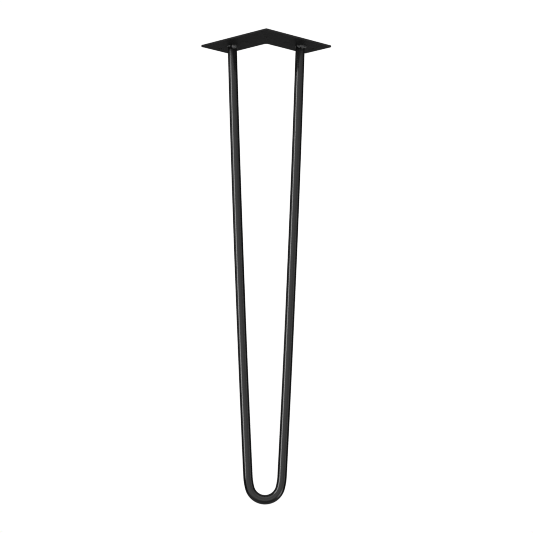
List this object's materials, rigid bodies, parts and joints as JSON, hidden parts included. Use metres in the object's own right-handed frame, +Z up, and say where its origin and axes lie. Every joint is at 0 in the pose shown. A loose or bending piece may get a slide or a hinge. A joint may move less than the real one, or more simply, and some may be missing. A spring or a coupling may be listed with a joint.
{
  "type": "hairpin table leg",
  "caption": "Slim hairpin table leg: a round steel rod bent into a narrow U, welded at both ends under an L-shaped mounting plate with screw holes.",
  "frame": {"origin": "centre of the corner screw hole, on the plate's mounting face", "axes": "+Z up out of the mounting face into the tabletop, +X across the two limbs, -Y towards the plate's outer corner"},
  "size_m": [0.174, 0.1213, 0.61],
  "materials": {
    "rod_coat": "black satin powder coat on round steel bar",
    "plate_coat": "black satin powder coat on steel sheet",
    "weld_coat": "black powder coat, glossier over the lumps of the weld"
  },
  "bodies": {
    "root": {"hairpin_rod": "rod_coat", "mounting_plate": "plate_coat", "left_weld": "weld_coat", "right_weld": "weld_coat"}
  },
  "joints": []
}
